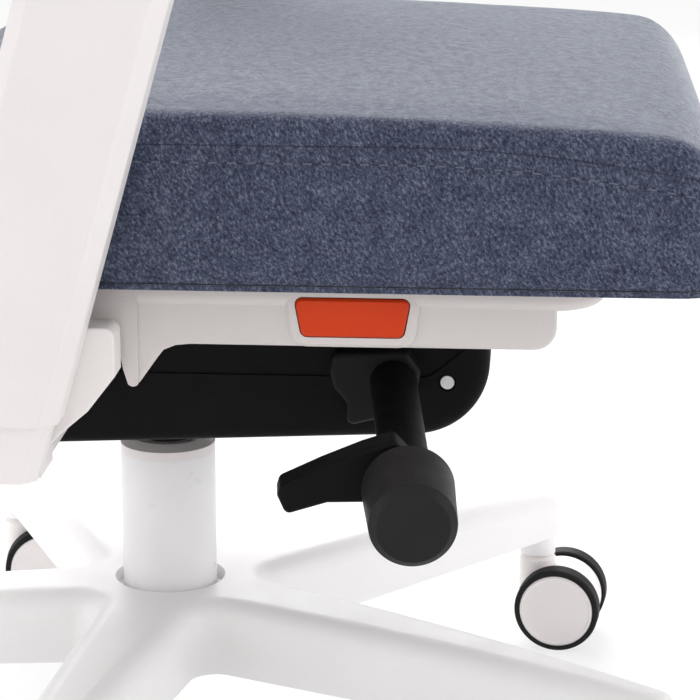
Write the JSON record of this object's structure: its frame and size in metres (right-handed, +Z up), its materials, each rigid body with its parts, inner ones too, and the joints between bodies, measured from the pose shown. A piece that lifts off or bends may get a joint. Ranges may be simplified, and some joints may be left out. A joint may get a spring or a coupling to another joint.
{
  "type": "kids desk chair",
  "caption": "Height-adjustable kids desk chair with blue-grey cushions, white frame, arm rests, gas lift and star base on casters.",
  "frame": {"origin": "on the floor under the column's axis", "axes": "+Z up along the column, the sitter faces -Y, the sitter's right side is -X"},
  "size_m": [0.5918, 0.5919, 0.8369],
  "materials": {
    "white_plastic": "satin",
    "white_enamel": "satin",
    "steel": "brushed",
    "black_enamel": "satin",
    "black_plastic": "satin",
    "tread_rubber": "matte",
    "hood_plastic": "satin",
    "orange_plastic": "gloss",
    "woven_fabric": "woven",
    "pad_rubber": "matte"
  },
  "bodies": {
    "base": {"star_base": "white_plastic", "caster_stems": "steel", "column_tube": "white_enamel", "column_bush": "white_plastic"},
    "lift_rod": {"piston_rod": "steel", "thrust_bearing": "steel"},
    "carriage": {"lift_cylinder": "black_enamel", "housing_lower": "black_plastic", "housing_upper": "black_plastic", "housing_screws": "steel", "bracket_bolts": "steel", "mechanism_plate": "steel", "column_socket": "steel", "tilt_pin": "steel", "tilt_springs": "steel", "lever_boss": "black_plastic", "seat_rails": "steel", "arm_bracket_right": "white_plastic", "arm_bracket_left": "white_plastic"},
    "valve": {"valve_button": "steel"},
    "rocker": {"valve_rocker": "steel"},
    "lever": {"height_lever": "black_plastic"},
    "tension": {"tension_knob": "black_plastic", "tension_rod": "steel"},
    "seat": {"seat_pan": "white_plastic", "seat_runners": "steel", "seat_screws": "steel", "seat_cushion": "woven_fabric", "press_spring_right": "steel", "press_spring_left": "steel"},
    "press_right": {"press_button_right": "orange_plastic"},
    "press_left": {"press_button_left": "orange_plastic"},
    "back": {"back_upright": "white_plastic", "back_shell": "white_plastic", "back_bolts": "steel", "back_cushion": "woven_fabric"},
    "arm_right": {"arm_sleeve_right": "white_plastic", "arm_pad_right": "pad_rubber"},
    "arm_left": {"arm_sleeve_left": "white_plastic", "arm_pad_left": "pad_rubber"},
    "caster_1": {"caster_1_hood": "hood_plastic", "caster_1_axle": "steel"},
    "caster_1_roll": {"caster_1_wheels": "white_plastic", "caster_1_tyres": "tread_rubber"},
    "caster_2": {"caster_2_hood": "hood_plastic", "caster_2_axle": "steel"},
    "caster_2_roll": {"caster_2_wheels": "white_plastic", "caster_2_tyres": "tread_rubber"},
    "caster_3": {"caster_3_hood": "hood_plastic", "caster_3_axle": "steel"},
    "caster_3_roll": {"caster_3_wheels": "white_plastic", "caster_3_tyres": "tread_rubber"},
    "caster_4": {"caster_4_hood": "hood_plastic", "caster_4_axle": "steel"},
    "caster_4_roll": {"caster_4_wheels": "white_plastic", "caster_4_tyres": "tread_rubber"},
    "caster_5": {"caster_5_hood": "hood_plastic", "caster_5_axle": "steel"},
    "caster_5_roll": {"caster_5_wheels": "white_plastic", "caster_5_tyres": "tread_rubber"}
  },
  "joints": [
    {"name": "seat_swivel", "type": "hinge", "parent": "base", "child": "lift_rod", "pos_m": [0, 0, 0.07], "axis": [0, 0, 1], "continuous": true},
    {"name": "seat_height", "type": "slide", "parent": "lift_rod", "child": "carriage", "axis": [0, 0, 1], "range_m": [0, 0.08]},
    {"name": "height_lever", "type": "hinge", "parent": "carriage", "child": "lever", "pos_m": [-0.065, -0.1224, 0.2379], "axis": [0.9881, 0.1073, 0.1097], "range_deg": [0, 12], "stiffness_Nm_per_rad": 2, "springref_deg": -11.46},
    {"name": "valve_rocker", "type": "hinge", "parent": "carriage", "child": "rocker", "pos_m": [0, -0.045, 0.2605], "axis": [-1, 0, 0], "range_deg": [0, 3.9]},
    {"name": "valve_button", "type": "slide", "parent": "carriage", "child": "valve", "axis": [0, 0, -1], "range_m": [0, 0.0034]},
    {"name": "tension_knob", "type": "hinge", "parent": "carriage", "child": "tension", "pos_m": [-0.065, -0.1224, 0.2379], "axis": [-0.9881, -0.1073, -0.1097], "range_deg": [0, 720]},
    {"name": "seat_depth", "type": "slide", "parent": "carriage", "child": "seat", "axis": [0, -1, 0], "range_m": [0, 0.05]},
    {"name": "press_right", "type": "slide", "parent": "seat", "child": "press_right", "axis": [1, 0, 0], "range_m": [0, 0.004], "stiffness_N_per_m": 600, "springref_m": -0.004, "deforming": ["press_spring_right"]},
    {"name": "press_left", "type": "slide", "parent": "seat", "child": "press_left", "axis": [-1, 0, 0], "range_m": [0, 0.004], "stiffness_N_per_m": 600, "springref_m": -0.004, "deforming": ["press_spring_left"]},
    {"name": "back_tilt", "type": "hinge", "parent": "carriage", "child": "back", "pos_m": [0, 0.038, 0.242], "axis": [-1, 0, 0], "range_deg": [0, 18], "stiffness_Nm_per_rad": 40, "springref_deg": -17.19, "deforming": ["tilt_springs"]},
    {"name": "arm_right", "type": "slide", "parent": "carriage", "child": "arm_right", "axis": [0, -0.2723, 0.9622], "range_m": [0, 0.06]},
    {"name": "arm_left", "type": "slide", "parent": "carriage", "child": "arm_left", "axis": [0, -0.2723, 0.9622], "range_m": [0, 0.06]},
    {"name": "caster_1_swivel", "type": "hinge", "parent": "base", "child": "caster_1", "pos_m": [0.20183, -0.19695, 0.05], "axis": [0, 0, 1], "continuous": true},
    {"name": "caster_1_roll", "type": "hinge", "parent": "caster_1", "child": "caster_1_roll", "pos_m": [0.19974, -0.21181, 0.0255], "axis": [0.9903, -0.1392, 0], "continuous": true},
    {"name": "caster_2_swivel", "type": "hinge", "parent": "base", "child": "caster_2", "pos_m": [0.24968, 0.13109, 0.05], "axis": [0, 0, 1], "continuous": true},
    {"name": "caster_2_roll", "type": "hinge", "parent": "caster_2", "child": "caster_2_roll", "pos_m": [0.25177, 0.11623, 0.0255], "axis": [0.9903, 0.1392, 0], "continuous": true},
    {"name": "caster_3_swivel", "type": "hinge", "parent": "base", "child": "caster_3", "pos_m": [-0.04751, 0.27797, 0.05], "axis": [0, 0, 1], "continuous": true},
    {"name": "caster_3_roll", "type": "hinge", "parent": "caster_3", "child": "caster_3_roll", "pos_m": [-0.04141, 0.26427, 0.0255], "axis": [0.9135, 0.4067, 0], "continuous": true},
    {"name": "caster_4_swivel", "type": "hinge", "parent": "base", "child": "caster_4", "pos_m": [-0.27905, 0.04071, 0.05], "axis": [0, 0, 1], "continuous": true},
    {"name": "caster_4_roll", "type": "hinge", "parent": "caster_4", "child": "caster_4_roll", "pos_m": [-0.28293, 0.02622, 0.0255], "axis": [0.9659, -0.2588, 0], "continuous": true},
    {"name": "caster_5_swivel", "type": "hinge", "parent": "base", "child": "caster_5", "pos_m": [-0.12495, -0.25281, 0.05], "axis": [0, 0, 1], "continuous": true},
    {"name": "caster_5_roll", "type": "hinge", "parent": "caster_5", "child": "caster_5_roll", "pos_m": [-0.12364, -0.26775, 0.0255], "axis": [0.9962, 0.0872, 0], "continuous": true}
  ],
  "couplings": [
    {"joint": "valve_rocker", "follows": "height_lever", "ratio": 0.32},
    {"joint": "valve_button", "follows": "height_lever", "m_per_rad": 0.0155}
  ]
}
